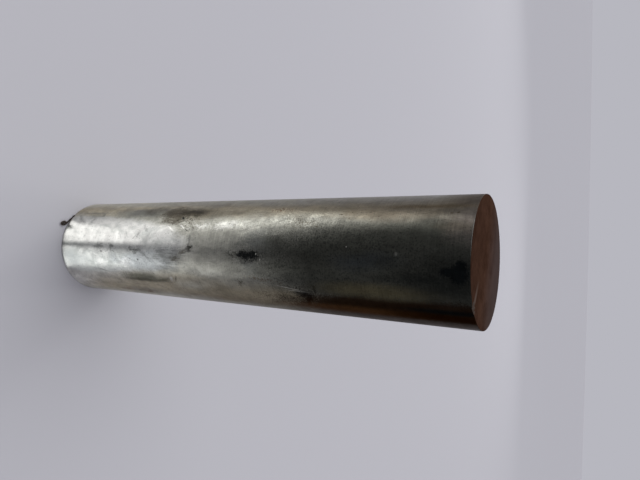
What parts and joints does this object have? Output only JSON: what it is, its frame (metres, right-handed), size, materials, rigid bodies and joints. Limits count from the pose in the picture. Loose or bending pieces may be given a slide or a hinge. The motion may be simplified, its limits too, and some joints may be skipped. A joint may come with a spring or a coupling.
{
  "type": "steel round bar",
  "caption": "Short offcut of solid round steel bar, peeled and sawn at both ends, kept as stock for machining or forging.",
  "frame": {"origin": "middle of the sawn end that the bar stands on, on the bar's axis", "axes": "+Z along the bar's axis towards the brown sawn end, -Y towards the side that was pictured"},
  "size_m": [0.063, 0.063, 0.28],
  "materials": {
    "bar_steel": "peeled steel, oily and stained dark, with brown sawn ends"
  },
  "bodies": {
    "root": {"round_bar": "bar_steel"}
  },
  "joints": []
}
